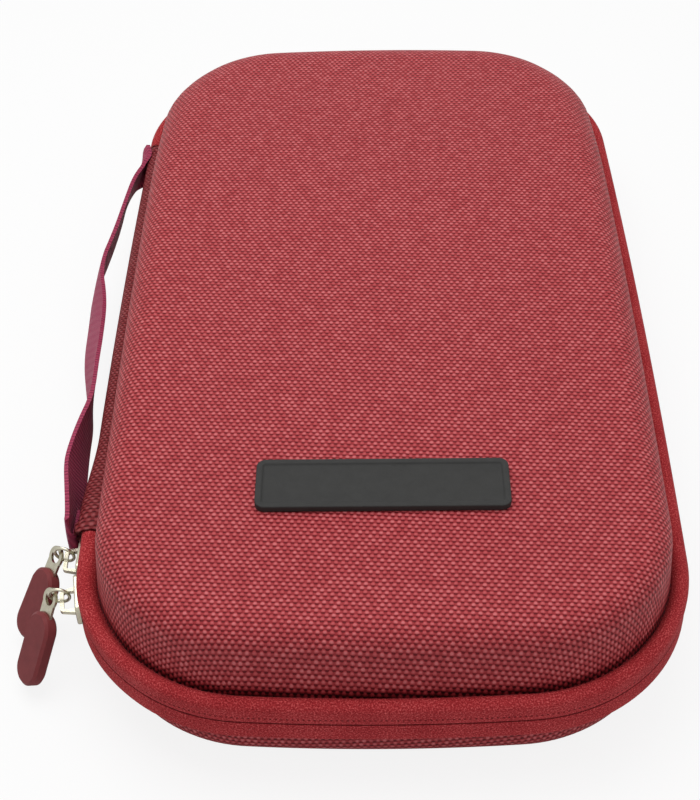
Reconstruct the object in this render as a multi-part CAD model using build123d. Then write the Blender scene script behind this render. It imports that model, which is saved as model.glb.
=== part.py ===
from build123d import *
from math import asin, atan2, cos, hypot, radians, sin, sqrt, tan
import os

# Zip-round clamshell case for a stethoscope, in millimetres.
# Origin: centre of the flat underside. +X right, +Y to the far end, +Z up.
# A cloth spine on the -X side joins the two shells. Shapes are built about
# the parting plane between the shells and lifted by base_height at the end.

# Case outline, measured over the two zip beads.
case_half_width = 78.0
case_half_length = 138.5
corner_radius = 45.0
side_bow = 1.1  # how far each long side bows out
end_bow = 1.0  # how far each end bows out

# Moulded shells.
base_height = 24.0  # parting plane to the flat underside
lid_height = 24.6  # parting plane to the top of the lid
edge_radius = 13.0
wall_draft = 5.0  # degrees
groove_depth = 4.6  # outside of the beads to the shell wall
cover_thickness = 0.9
foam_thickness = 3.4
lining_thickness = 0.7
rim_height = 4.6  # parting plane to the rim of each shell

# Zip tape, rolled over the rims into two beads.
bead_height = 6.9
bead_radius = 3.3
tape_thickness = 0.8
split_gap = 0.2  # parting plane to the edge of each tape
split_depth = 1.2  # how far the split lies inside the beads
coil_thickness = 1.4
coil_width = 2.4
binding_thickness = 0.6
binding_height = 7.0  # leg of the binding up the lining
binding_start = 6.2  # outside of the beads to the binding's edge

# Cloth spine between the ends of the zip.
spine_far_room = 48.5  # from the case's far end to the spine
spine_near_room = 58.5  # from its near end to the spine
spine_bulge = 0.5
spine_lining_thickness = 0.8
spine_lining_height = 9.0  # half height
spine_lining_gap = 0.3  # binding to the strip
zip_end_gap = 0.4  # end of the spine to the end of the zip

# Lid furniture.
badge_length = 63.0
badge_width = 16.3
badge_thickness = 1.9
badge_room = 53.5  # from the case's near end to the middle of the badge
badge_corner = 2.4
badge_rim = 1.3
badge_recess = 0.5
badge_round = 0.4
pocket_gap = 0.2  # binding to the pocket's elastic
mesh_thickness = 0.6
mesh_mouth_room = 90.5  # from the case's far end to the open edge of the mesh
elastic_width = 9.0
elastic_thickness = 1.6

# Elastic band sewn across the floor of the base.
band_width = 25.0
band_thickness = 1.2
band_y = 18.0
band_half_span = 50.0
band_lift = 1.5
band_tab = 9.0

# Sliders: two plates joined by a wedge, with a crown for the pull.
slider_length = 11.4
slider_gap = 0.4
slider_park_gap = 1.0  # end of the zip to the rear slider
nose_width = 8.6
tail_width = 6.6
plate_corner = 1.4
plate_thickness = 1.2
plate_clearance = 0.3  # outside of the beads to the outer plate
channel_depth = 4.0  # outside of the beads to the inner plate
rail_width = 0.8
rail_height = 1.3
wedge_start = 0.6  # end of the nose to the wedge
wedge_widest = 2.3  # end of the nose to its widest point
wedge_length = 4.8  # end of the nose to its tail
wedge_width = 2.8
wedge_clearance = 0.5
crown_length = 8.4
crown_opening = 5.8
crown_gap = 2.9
crown_bar = 1.0
crown_width = 1.1
crown_shoulder = 0.33  # metal beside the opening at the bar

# Pull: wire ring, metal tongue, moulded rubber paddle.
ring_radius = 2.6  # to the middle of the wire
ring_wire = 0.85
ring_middle_at = (-2.06, 0.39, 5.48)  # along the zip, up, and out of the slider
ring_axis = (0.965, -0.078, 0.251)
pull_hang = 33.0  # degrees below straight out, where the pull hangs on the ring
pull_slack = 0.47  # middle of the wire to the middle of the tongue's hole
tongue_width = 5.0
tongue_thickness = 0.7
tongue_hole = 3.5
tongue_margin = 1.1  # metal beyond the hole
tongue_grip = 8.0  # length of tongue inside the rubber
paddle_start = 4.0  # middle of the hole to the rubber
paddle_length = 20.0
paddle_width = 9.6
paddle_thickness = 3.6
paddle_bevel = 0.7
front_paddle_way = (-0.30, -0.50, -0.81)  # how the front pull lies at rest
rear_paddle_way = (-0.40, -0.44, -0.80)
paddle_face_way = (-0.70, -0.43, 0.56)

# Carrying strap of flat webbing, sewn down beside both ends of the spine.
strap_width = 14.0
strap_thickness = 1.2
strap_seat = 6.0  # length sewn down at each end
strap_out = 9.6  # how far the loop stands off the spine at its crest
strap_crest_in = 35.0  # from the far end of the spine
strap_dip_out = 4.6  # and where it dips towards its near end
strap_dip_in = 42.0  # from the near end of the spine
strap_seat_gap = 0.1

spine_far_y = case_half_length - spine_far_room
spine_near_y = spine_near_room - case_half_length
mesh_mouth_y = case_half_length - mesh_mouth_room
side_radius = (case_half_length - corner_radius) ** 2 / (2 * side_bow)
end_radius = (case_half_width - corner_radius) ** 2 / (2 * end_bow)
side_centre = case_half_width - side_radius
end_centre = case_half_length - end_radius
shell_thickness = cover_thickness + foam_thickness + lining_thickness
flange_top = bead_height - tape_thickness
mesh_level = rim_height + binding_height + pocket_gap + (elastic_thickness - mesh_thickness) / 2
bead_middle = bead_height - bead_radius
slope = tan(radians(wall_draft))
steep = cos(radians(wall_draft))
far_away = 4 * case_half_length


# Middle of the corner arc, which is tangent to a bowed side and a bowed end.
def corner_middle():
    reach = hypot(side_centre, end_centre)
    to_side = side_radius - corner_radius
    to_end = end_radius - corner_radius
    along = (to_side**2 - to_end**2 + reach**2) / (2 * reach)
    off = sqrt(to_side**2 - along**2)
    x_way = -side_centre / reach
    y_way = end_centre / reach
    one = (side_centre + along * x_way + off * y_way, along * y_way - off * x_way)
    other = (side_centre + along * x_way - off * y_way, along * y_way + off * x_way)
    return max(one, other)


corner_x, corner_y = corner_middle()
side_turn = atan2(corner_y, corner_x - side_centre)
end_turn = atan2(corner_x, corner_y - end_centre)


def on_circle(x, y, radius, angle):
    return (x + radius * cos(angle), y + radius * sin(angle))


def turned(point, x_sign, y_sign):
    return (x_sign * point[0], y_sign * point[1])


# Closed plan outline of eight tangent arcs, inset from the outside of the beads.
def outline(inset):
    upright = radians(90)
    side = side_radius - inset
    corner = corner_radius - inset
    end = end_radius - inset
    diagonal = (side_turn + upright - end_turn) / 2
    side_middle = on_circle(side_centre, 0, side, 0)
    side_end = on_circle(side_centre, 0, side, side_turn)
    corner_point = on_circle(corner_x, corner_y, corner, diagonal)
    end_start = on_circle(0, end_centre, end, upright - end_turn)
    end_middle = on_circle(0, end_centre, end, upright)
    arcs = []
    for x_sign, y_sign in ((1, 1), (-1, 1), (-1, -1), (1, -1)):
        points = [turned(p, x_sign, y_sign) for p in (side_end, corner_point, end_start)]
        arcs.append(ThreePointArc(*points))
    for x_sign in (1, -1):
        points = (turned(side_end, x_sign, -1), turned(side_middle, x_sign, 1))
        arcs.append(ThreePointArc(*points, turned(side_end, x_sign, 1)))
    for y_sign in (1, -1):
        points = (turned(end_start, -1, y_sign), turned(end_middle, 1, y_sign))
        arcs.append(ThreePointArc(*points, turned(end_start, 1, y_sign)))
    return Wire.combine(arcs)[0]


# Section drawn as (inset from the beads' outside, height above the parting plane).
def swept_round(section):
    start = Plane(origin=(case_half_width, 0, 0), x_dir=(-1, 0, 0), z_dir=(0, 1, 0))
    return sweep(start * section, path=outline(0))


def plan_box(x_low, x_high, y_low, y_high, z_low, z_high):
    size = (x_high - x_low, y_high - y_low, z_high - z_low)
    middle = ((x_low + x_high) / 2, (y_low + y_high) / 2, (z_low + z_high) / 2)
    return Pos(*middle) * Box(*size)


def level_slab(z_low, z_high):
    return plan_box(-far_away, far_away, -far_away, far_away, z_low, z_high)


# Space on the left long side, from the outside in past the rims.
def left_side(y_low, y_high, inset=None):
    depth = groove_depth + 2 * shell_thickness if inset is None else inset
    return plan_box(-far_away, -case_half_width + depth, y_low, y_high, -far_away, far_away)


# Everything inside one skin of a shell: drafted walls under a rolled edge.
def shell_block(depth, height):
    foot = Pos(0, 0, rim_height) * Face(outline(groove_depth + depth / steep))
    block = extrude(foot, amount=height - depth - rim_height, taper=wall_draft)
    return fillet(block.edges().group_by(Axis.Z)[-1], edge_radius - depth)


# The moulded rim that carries the rolled tape.
def rim_flange(gap_low, gap_high):
    roll = bead_radius - tape_thickness
    toe = bead_radius - sqrt(roll**2 - (rim_height - bead_middle) ** 2)
    heel = groove_depth + cover_thickness + foam_thickness / 2
    crest = bead_radius - roll * cos(radians(55)), bead_middle + roll * sin(radians(55))
    edge = [
        ThreePointArc((toe, rim_height), crest, (bead_radius, flange_top)),
        Polyline((bead_radius, flange_top), (heel, flange_top), (heel, rim_height), (toe, rim_height)),
    ]
    flange = swept_round(make_face(edge))
    if gap_high > gap_low:
        flange -= left_side(gap_low, gap_high, groove_depth + cover_thickness)
    return flange


# A shell is one moulded laminate, cloth on foam; its lining is a skin inside it.
def shell_layers(height, gap_low, gap_high):
    outer = shell_block(0, height)
    under_cover = shell_block(cover_thickness, height)
    under_foam = shell_block(cover_thickness + foam_thickness, height)
    cavity = shell_block(shell_thickness, height)
    cloth = outer - under_cover - level_slab(-far_away, flange_top)
    laminate = cloth + (under_cover - under_foam) + rim_flange(gap_low, gap_high)
    return laminate, under_foam - cavity, cavity


# Bound edge of the lining: a flat hem over the rim with a leg up the wall.
def rim_binding(height, cavity):
    leg = cavity - shell_block(shell_thickness + binding_thickness, height)
    leg &= level_slab(rim_height, rim_height + binding_height)
    hem = Face(outline(binding_start))
    hem -= Face(outline(groove_depth + (shell_thickness + binding_thickness) / steep))
    return leg + extrude(Pos(0, 0, rim_height - binding_thickness) * hem, amount=binding_thickness)


# Half of the bead: from the split, out over the widest point, to the groove.
def bead_edge(shift):
    fall = bead_middle - split_gap
    radius = (split_depth**2 + fall**2) / (2 * split_depth)
    reach = radius - shift
    toe = (radius - sqrt(reach**2 - fall**2), split_gap)
    half = asin(fall / reach) / 2
    between = (radius - reach * cos(half), bead_middle - reach * sin(half))
    wide = (shift, bead_middle)
    roll = bead_radius - shift
    shoulder = bead_radius - roll * cos(radians(45)), bead_middle + roll * sin(radians(45))
    top = (bead_radius, bead_height - shift)
    return toe, between, wide, shoulder, top


def tape_section():
    toe, between, wide, shoulder, top = bead_edge(0)
    inner = bead_edge(tape_thickness)
    hem = (groove_depth, bead_height)
    hem_under = (groove_depth, bead_height - tape_thickness)
    edge = [
        ThreePointArc(toe, between, wide),
        ThreePointArc(wide, shoulder, top),
        Polyline(top, hem, hem_under, inner[4]),
        ThreePointArc(inner[4], inner[3], inner[2]),
        ThreePointArc(inner[2], inner[1], inner[0]),
        Line(inner[0], toe),
    ]
    return make_face(edge)


def zip_tape(pockets):
    tape = swept_round(tape_section())
    tape -= left_side(spine_near_y - zip_end_gap, spine_far_y + zip_end_gap)
    for pocket in pockets:
        tape -= pocket
    return tape


def zip_coil(parked):
    toe = bead_edge(tape_thickness)[0]
    middle = Pos(toe[0] + coil_thickness / 2, split_gap + coil_width / 2)
    coil = swept_round(middle * Rectangle(coil_thickness, coil_width))
    coil -= left_side(slider_middle("front")[1], spine_far_y + zip_end_gap)
    return coil - parked


def spine_cover():
    wide, shoulder, top = bead_edge(0)[2:]
    inner_wide, inner_shoulder, inner_top = bead_edge(tape_thickness)[2:]
    hem = (groove_depth, bead_height)
    hem_under = (groove_depth, bead_height - tape_thickness)
    edge = [
        Polyline(turned(hem, 1, -1), turned(top, 1, -1)),
        ThreePointArc(turned(top, 1, -1), turned(shoulder, 1, -1), turned(wide, 1, -1)),
        ThreePointArc(turned(wide, 1, -1), (-spine_bulge, 0), wide),
        ThreePointArc(wide, shoulder, top),
        Polyline(top, hem, hem_under, inner_top),
        ThreePointArc(inner_top, inner_shoulder, inner_wide),
        ThreePointArc(inner_wide, (tape_thickness - spine_bulge, 0), turned(inner_wide, 1, -1)),
        ThreePointArc(turned(inner_wide, 1, -1), turned(inner_shoulder, 1, -1), turned(inner_top, 1, -1)),
        Polyline(turned(inner_top, 1, -1), turned(hem_under, 1, -1), turned(hem, 1, -1)),
    ]
    return swept_round(make_face(edge)) & left_side(spine_near_y, spine_far_y)


# Inner strip that closes the spine, lapped on to both bound edges.
def spine_lining():
    wall = groove_depth + (shell_thickness + binding_thickness) / steep + spine_lining_gap
    lean = (spine_lining_height - rim_height) * slope
    thick = spine_lining_thickness
    upper = [
        (wall, rim_height),
        (wall + lean, spine_lining_height),
        (wall + lean + thick, spine_lining_height),
        (wall + thick, rim_height),
    ]
    lower = [turned(point, 1, -1) for point in upper]
    ring = [upper[0], upper[1], upper[2], upper[3], lower[3], lower[2], lower[1], lower[0]]
    section = make_face(Polyline(*ring, close=True))
    return swept_round(section) & left_side(spine_near_y, spine_far_y)


def badge_plan(inset):
    plate = RectangleRounded(badge_length - 2 * inset, badge_width - 2 * inset, badge_corner - inset)
    return Pos(0, badge_room - case_half_length) * plate


def badge():
    plate = extrude(badge_plan(0), amount=badge_thickness)
    plate = fillet(plate.edges().group_by(Axis.Z)[-1], badge_round)
    field = Pos(0, 0, badge_thickness - badge_recess) * extrude(badge_plan(badge_rim), amount=badge_thickness)
    return Pos(0, 0, lid_height) * (plate - field)


def mesh_pocket(cavity):
    reach = plan_box(-far_away, far_away, -far_away, mesh_mouth_y, mesh_level, mesh_level + mesh_thickness)
    return cavity & reach


def pocket_elastic(cavity):
    low = rim_height + binding_height + pocket_gap
    far = mesh_mouth_y + elastic_width
    return cavity & plan_box(-far_away, far_away, mesh_mouth_y, far, low, low + elastic_thickness)


# Flat elastic, sewn down at two tabs and a little slack between them.
def retaining_band():
    floor = shell_thickness - base_height
    inner = band_half_span - band_tab
    under = [
        Line((-band_half_span, floor), (-inner, floor)),
        ThreePointArc((-inner, floor), (0, floor + band_lift), (inner, floor)),
        Line((inner, floor), (band_half_span, floor)),
    ]
    lift = floor + band_thickness
    over = [
        Line((band_half_span, floor), (band_half_span, lift)),
        Line((band_half_span, lift), (inner, lift)),
        ThreePointArc((inner, lift), (0, lift + band_lift), (-inner, lift)),
        Line((-inner, lift), (-band_half_span, lift)),
        Line((-band_half_span, lift), (-band_half_span, floor)),
    ]
    across = Plane(origin=(0, band_y, 0), x_dir=(1, 0, 0), z_dir=(0, -1, 0))
    return extrude(across * make_face(under + over), amount=band_width / 2, both=True)


# Where a parked slider's middle lies on the outline, and its outward direction.
def slider_middle(which):
    y = spine_near_y - zip_end_gap - slider_park_gap - slider_length / 2
    if which == "front":
        y -= slider_length + slider_gap
    past = -corner_y - y
    if past <= 0:
        turn = asin(y / side_radius)
        x = side_centre + side_radius * cos(turn)
        return -x, y, turn
    turn = -side_turn - past / corner_radius
    x, y = on_circle(corner_x, -corner_y, corner_radius, turn)
    return -x, y, turn


# Local axes of a slider: x along the zip towards the case's near end,
# y up, z straight out of the case.
def slider_plane(which):
    x, y, turn = slider_middle(which)
    out = (-cos(turn), sin(turn), 0)
    along = (-out[1], out[0], 0)
    return Plane(origin=(x, y, 0), x_dir=along, z_dir=out)


def plate_outline(nose):
    half = slider_length / 2
    points = [
        (nose * half, -nose_width / 2),
        (nose * half, nose_width / 2),
        (-nose * half, tail_width / 2),
        (-nose * half, -tail_width / 2),
    ]
    face = make_face(Polyline(*points, close=True))
    return fillet(face.vertices(), plate_corner)


def slider_crown():
    base = plate_clearance + plate_thickness
    top = base + crown_gap + crown_bar
    shoulder = crown_opening / 2 + crown_shoulder
    points = [(-crown_length / 2, base), (-shoulder, top), (shoulder, top), (crown_length / 2, base)]
    arch = make_face(Polyline(*points, close=True))
    arch = fillet(arch.vertices().sort_by(Axis.Y)[-2:], crown_bar)
    hole_points = [
        (-crown_opening / 2, base - crown_bar),
        (-crown_opening / 2, base + crown_gap),
        (crown_opening / 2, base + crown_gap),
        (crown_opening / 2, base - crown_bar),
    ]
    hole = make_face(Polyline(*hole_points, close=True))
    hole = fillet(hole.vertices().sort_by(Axis.Y)[-2:], crown_bar / 2)
    upright = Plane(origin=(0, 0, 0), x_dir=(1, 0, 0), z_dir=(0, -1, 0))
    return extrude(upright * (arch - hole), amount=crown_width / 2, both=True)


# nose is +1 when the wide, wedge end points along local x, and -1 the other way.
def slider_body(which, nose):
    plate = plate_outline(nose)
    outer = extrude(Pos(0, 0, plate_clearance) * plate, amount=plate_thickness)
    outer = fillet(outer.edges().group_by(Axis.Z)[-1], plate_thickness / 3)
    inner = extrude(Pos(0, 0, -channel_depth - plate_thickness) * plate, amount=plate_thickness)
    rails = extrude(Pos(0, 0, -channel_depth) * plate, amount=rail_height)
    mouth_width = (nose_width + tail_width) / 2 - 2 * rail_width
    mouth = Box(2 * slider_length, mouth_width, rail_height)
    rails -= Pos(0, 0, rail_height / 2 - channel_depth) * mouth
    tip = slider_length / 2 * nose
    widest = tip - nose * wedge_widest
    points = [
        (tip - nose * wedge_start, 0),
        (widest, wedge_width / 2),
        (tip - nose * wedge_length, 0),
        (widest, -wedge_width / 2),
    ]
    wedge_face = make_face(Polyline(*points, close=True))
    wedge = extrude(Pos(0, 0, -channel_depth) * wedge_face, amount=channel_depth + plate_clearance)
    body = outer + inner + rails + wedge + slider_crown()
    return slider_plane(which) * body


# Room the zip tape leaves for the wedge of a parked slider.
def slider_pocket(which):
    length = slider_length + 2 * slider_gap
    width = wedge_width + 2 * wedge_clearance
    depth = channel_depth + plate_thickness
    return slider_plane(which) * (Pos(0, 0, -depth / 2) * Box(length, width, depth + 2 * plate_clearance))


# Room a whole parked slider takes out of the coil's run.
def slider_room(which):
    length = slider_length + 2 * slider_gap
    return slider_plane(which) * Box(length, 2 * nose_width, 3 * channel_depth)


# The ring stands in the crown, in the slider's own axes.
def ring_plane(which):
    stand = Plane(origin=ring_middle_at, z_dir=ring_axis)
    return Plane(slider_plane(which).location * stand.location)


def pull_ring(which):
    return ring_plane(which) * Torus(ring_radius, ring_wire / 2)


# From the middle of the ring to the wire where the pull hangs.
def hanging_way(which):
    slider = slider_plane(which)
    axis = ring_plane(which).z_dir
    straight = slider.z_dir * cos(radians(pull_hang)) - slider.y_dir * sin(radians(pull_hang))
    return (straight - axis * axis.dot(straight)).normalized()


def wire_middle(which):
    return ring_plane(which).origin + hanging_way(which) * ring_radius


# Plane of a pull: x down its length, z out of its broad face.
def pull_plane(which, way):
    down = Vector(*way).normalized()
    face = Vector(*paddle_face_way)
    face = (face - down * face.dot(down)).normalized()
    middle = wire_middle(which) + hanging_way(which) * pull_slack
    return Plane(origin=middle, x_dir=down, z_dir=face)


def pull_tongue(which, way):
    eye_radius = tongue_hole / 2 + tongue_margin
    end = paddle_start + tongue_grip
    flat = Circle(eye_radius) + Pos(end / 2, 0) * Rectangle(end, tongue_width)
    flat -= Circle(tongue_hole / 2)
    blade = extrude(flat, amount=tongue_thickness / 2, both=True)
    return pull_plane(which, way) * blade


def pull_paddle(which, way):
    middle = paddle_start + paddle_length / 2
    plan = Pos(middle, 0) * SlotOverall(paddle_length, paddle_width)
    body = extrude(plan, amount=paddle_thickness / 2, both=True)
    rims = body.edges().group_by(Axis.Z)
    body = chamfer(rims[-1] + rims[0], paddle_bevel)
    end = paddle_start + tongue_grip
    body -= Pos(end / 2, 0, 0) * Box(end, tongue_width, tongue_thickness)
    return pull_plane(which, way) * body


# Two equal arcs that shift a run along -Y sideways.
def side_step(start, end):
    middle = ((start[0] + end[0]) / 2, (start[1] + end[1]) / 2)
    first = TangentArc(start, middle, tangent=(0, -1))
    return [first, TangentArc(middle, end, tangent=first % 1)]


# The spine's bulge on the left long side.
def spine_out(y):
    return side_centre + sqrt(side_radius**2 - y**2) + spine_bulge


def strap_edge(shift):
    far = spine_far_y - zip_end_gap
    near = spine_near_y + zip_end_gap
    far_seat = (-spine_out(far - strap_seat) - strap_seat_gap - shift, far - strap_seat)
    near_seat = (-spine_out(near + strap_seat) - strap_seat_gap - shift, near + strap_seat)
    crest = (-case_half_width - strap_out - shift, spine_far_y - strap_crest_in)
    dip = (-case_half_width - strap_dip_out - shift, spine_near_y + strap_dip_in)
    run = [Line((far_seat[0], far), far_seat)]
    run += side_step(far_seat, crest)
    run += side_step(crest, dip)
    run += side_step(dip, near_seat)
    run.append(Line(near_seat, (near_seat[0], near)))
    return run


# Webbing loop: sewn flat at both ends of the spine, bowed out between them.
def handle_strap():
    inner = strap_edge(0)
    outer = strap_edge(strap_thickness)
    ends = [Line(inner[0] @ 0, outer[0] @ 0), Line(inner[-1] @ 1, outer[-1] @ 1)]
    side = make_face(inner + outer + ends)
    return extrude(Pos(0, 0, -strap_width / 2) * side, amount=strap_width)


def whole_case():
    parked_low = slider_middle("front")[1] - slider_length
    lid_shell, lid_lining, lid_cavity = shell_layers(lid_height, parked_low, spine_far_y + zip_end_gap)
    base_shell, base_lining, base_cavity = shell_layers(base_height, 0, 0)
    pockets = [slider_pocket(which) for which in ("rear", "front")]
    tape = zip_tape(pockets)
    coil = zip_coil(slider_room("front"))
    pieces = {
        "lid_shell": lid_shell,
        "lid_lining": lid_lining,
        "lid_binding": rim_binding(lid_height, lid_cavity),
        "lid_zip_tape": tape,
        "lid_zip_coil": coil,
        "badge": badge(),
        "mesh_pocket": mesh_pocket(lid_cavity),
        "pocket_elastic": pocket_elastic(lid_cavity),
        "base_shell": mirror(base_shell, Plane.XY),
        "base_lining": mirror(base_lining, Plane.XY),
        "base_binding": mirror(rim_binding(base_height, base_cavity), Plane.XY),
        "base_zip_tape": mirror(tape, Plane.XY),
        "base_zip_coil": mirror(coil, Plane.XY),
        "retaining_band": retaining_band(),
        "spine_cover": spine_cover(),
        "spine_lining": spine_lining(),
        "handle_strap": handle_strap(),
    }
    # The noses of the two sliders face each other.
    for which, nose, way in (("front", -1, front_paddle_way), ("rear", 1, rear_paddle_way)):
        pieces[which + "_slider_body"] = slider_body(which, nose)
        pieces[which + "_pull_ring"] = pull_ring(which)
        pieces[which + "_pull_tongue"] = pull_tongue(which, way)
        pieces[which + "_pull_paddle"] = pull_paddle(which, way)
    return pieces


os.makedirs("parts", exist_ok=True)
for node, piece in whole_case().items():
    export_step(Pos(0, 0, base_height) * piece, "parts/" + node + ".step")
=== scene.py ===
from math import asin, atan2, cos, hypot, pi, radians, sin, sqrt, tan

import bmesh
import bpy
from mathutils import Matrix, Vector
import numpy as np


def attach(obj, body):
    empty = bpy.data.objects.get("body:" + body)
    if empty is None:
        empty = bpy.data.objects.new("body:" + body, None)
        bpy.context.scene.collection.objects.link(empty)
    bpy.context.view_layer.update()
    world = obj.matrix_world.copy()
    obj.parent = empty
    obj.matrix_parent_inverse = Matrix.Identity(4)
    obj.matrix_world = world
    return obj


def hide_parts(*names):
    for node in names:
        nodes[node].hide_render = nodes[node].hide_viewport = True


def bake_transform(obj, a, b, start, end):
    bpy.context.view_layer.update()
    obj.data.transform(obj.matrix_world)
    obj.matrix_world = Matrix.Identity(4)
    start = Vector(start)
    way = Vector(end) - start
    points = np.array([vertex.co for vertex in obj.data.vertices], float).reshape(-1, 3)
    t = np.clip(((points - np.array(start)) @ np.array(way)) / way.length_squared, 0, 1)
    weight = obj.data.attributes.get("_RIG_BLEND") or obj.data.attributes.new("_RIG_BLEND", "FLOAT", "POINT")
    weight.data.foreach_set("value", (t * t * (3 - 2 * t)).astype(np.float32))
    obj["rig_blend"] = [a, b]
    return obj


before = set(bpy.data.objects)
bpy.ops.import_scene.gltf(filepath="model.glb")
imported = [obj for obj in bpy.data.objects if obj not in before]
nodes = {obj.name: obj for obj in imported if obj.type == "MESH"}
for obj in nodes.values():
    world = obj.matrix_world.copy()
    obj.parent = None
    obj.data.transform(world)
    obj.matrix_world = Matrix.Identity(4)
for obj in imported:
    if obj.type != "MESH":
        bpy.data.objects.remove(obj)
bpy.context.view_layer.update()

print("frame loaded:", len(nodes), "nodes")

# Lengths below are in millimetres about the parting plane, with the zip at height 0.
# toFrame() lifts a finished mesh by liftHeight and turns it to metres.
millimetre = 0.001
caseShape = {
    "halfWidth": 78.0,
    "halfLength": 138.5,
    "cornerRadius": 45.0,
    "sideBow": 1.1,
    "endBow": 1.0,
    "liftHeight": 24.0,
    "spineFar": 90.0,
    "spineNear": -80.0,
    "zipGap": 0.4,
}


# The plan outline: eight tangent arcs, walked anticlockwise by length.
def outlineArcs():
    halfWidth, halfLength = caseShape["halfWidth"], caseShape["halfLength"]
    corner = caseShape["cornerRadius"]
    side = (halfLength - corner) ** 2 / (2 * caseShape["sideBow"])
    end = (halfWidth - corner) ** 2 / (2 * caseShape["endBow"])
    sideCentre, endCentre = halfWidth - side, halfLength - end
    reach = hypot(sideCentre, endCentre)
    toSide, toEnd = side - corner, end - corner
    along = (toSide**2 - toEnd**2 + reach**2) / (2 * reach)
    off = sqrt(toSide**2 - along**2)
    xWay, yWay = -sideCentre / reach, endCentre / reach
    one = (sideCentre + along * xWay + off * yWay, along * yWay - off * xWay)
    other = (sideCentre + along * xWay - off * yWay, along * yWay + off * xWay)
    cornerX, cornerY = max(one, other)
    sideTurn = atan2(cornerY, cornerX - sideCentre)
    endTurn = atan2(cornerX, cornerY - endCentre)
    quarter = pi / 2
    return [
        (sideCentre, 0, side, -sideTurn, sideTurn),
        (cornerX, cornerY, corner, sideTurn, quarter - endTurn),
        (0, endCentre, end, quarter - endTurn, quarter + endTurn),
        (-cornerX, cornerY, corner, quarter + endTurn, pi - sideTurn),
        (-sideCentre, 0, side, pi - sideTurn, pi + sideTurn),
        (-cornerX, -cornerY, corner, pi + sideTurn, 3 * quarter - endTurn),
        (0, -endCentre, end, 3 * quarter - endTurn, 3 * quarter + endTurn),
        (cornerX, -cornerY, corner, 3 * quarter + endTurn, 2 * pi - sideTurn),
    ]


arcs = outlineArcs()
arcLengths = [radius * (last - first) for _, _, radius, first, last in arcs]
roundLength = sum(arcLengths)


def station(distance):
    rest = distance % roundLength
    for (x, y, radius, first, last), length in zip(arcs, arcLengths):
        if rest <= length:
            break
        rest -= length
    turn = first + min(rest, length) / radius
    return Vector((x + radius * cos(turn), y + radius * sin(turn), 0)), Vector((cos(turn), sin(turn), 0))


def leftSide(y):
    radius, first = arcs[4][2], arcs[4][3]
    return sum(arcLengths[:4]) + radius * (pi - asin(y / radius) - first)


def walk(first, last, step):
    count = max(2, round((last - first) / step))
    return [first + (last - first) * i / count for i in range(count + 1)]


# Bmesh helpers.
def toFrame(bm, name, smooth=True, angle=None):
    for v in bm.verts:
        v.co = Vector((v.co.x, v.co.y, v.co.z + caseShape["liftHeight"])) * millimetre
    mesh = bpy.data.meshes.new(name)
    bm.to_mesh(mesh)
    bm.free()
    piece = bpy.data.objects.new(name, mesh)
    bpy.context.scene.collection.objects.link(piece)
    if angle is None:
        mesh.shade_smooth() if smooth else mesh.shade_flat()
    else:
        mesh.shade_smooth()
        mesh.set_sharp_from_angle(angle=radians(angle))
    return piece


# Extrude a ring of edges once, and give the new ring in the same order.
def nextRing(bm, ring, edges):
    made = bmesh.ops.extrude_edge_only(bm, edges=edges)["geom"]
    newSet = {g for g in made if isinstance(g, bmesh.types.BMVert)}
    ring = [next(e.other_vert(v) for e in v.link_edges if e.other_vert(v) in newSet) for v in ring]
    edges = [g for g in made if isinstance(g, bmesh.types.BMEdge) and set(g.verts) <= newSet]
    return ring, edges


# A chain of (inset, height) carried along stations of the outline.
# uvOf(distance, index, place, outward) gives each vertex its place in the cloth, in mm.
def carryChain(bm, chainAt, distances, uvOf, closedChain=False, capEnds=False):
    uLayer = bm.verts.layers.float.new("clothU")
    vLayer = bm.verts.layers.float.new("clothV")
    ring, edges = [], []
    for distance in distances:
        place, outward = station(distance)
        chain = chainAt(distance)
        if not ring:
            ring = [bm.verts.new((0, 0, 0)) for _ in chain]
            edges = [bm.edges.new(pair) for pair in zip(ring, ring[1:])]
            if closedChain:
                edges.append(bm.edges.new((ring[-1], ring[0])))
            firstRing = list(ring)
        else:
            ring, edges = nextRing(bm, ring, edges)
        for index, (v, (inset, height)) in enumerate(zip(ring, chain)):
            v.co = place - outward * inset
            v.co.z = height
            v[uLayer], v[vLayer] = uvOf(distance, index, place, outward)
    if capEnds:
        for loop in (firstRing, ring):
            bmesh.ops.contextual_create(bm, geom=loop)


def writeCloth(bm):
    uLayer, vLayer = bm.verts.layers.float["clothU"], bm.verts.layers.float["clothV"]
    uvLayer = bm.loops.layers.uv.new("cloth")
    for face in bm.faces:
        for loop in face.loops:
            loop[uvLayer].uv = (loop.vert[uLayer], loop.vert[vLayer])


def closeUp(bm):
    bmesh.ops.remove_doubles(bm, verts=bm.verts, dist=0.002)
    bmesh.ops.recalc_face_normals(bm, faces=bm.faces)


# Turn a piece of the lid into the same piece of the base.
def mirrorDown(bm):
    bmesh.ops.transform(bm, matrix=Matrix.Scale(-1, 4, (0, 0, 1)), verts=bm.verts)
    bmesh.ops.reverse_faces(bm, faces=bm.faces)
    return bm


# What each finished piece needs: its finish, the node it replaces and its body.
# Cloth at the hinge bends between the two bodies.
def enterPiece(piece, finish, node, body):
    dress(piece, finish)
    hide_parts(node)
    if body == "hinge":
        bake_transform(piece, "base", "lid", start=(-0.078, 0, 0.0205), end=(-0.078, 0, 0.0275))
    else:
        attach(piece, body)


def chainLengths(chain):
    lengths = [0.0]
    for a, b in zip(chain, chain[1:]):
        lengths.append(lengths[-1] + hypot(b[0] - a[0], b[1] - a[1]))
    return lengths


def arcPoints(centre, radius, first, last, count):
    turns = [first + (last - first) * i / count for i in range(count + 1)]
    return [(centre[0] + radius * cos(t), centre[1] + radius * sin(t)) for t in turns]


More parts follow.
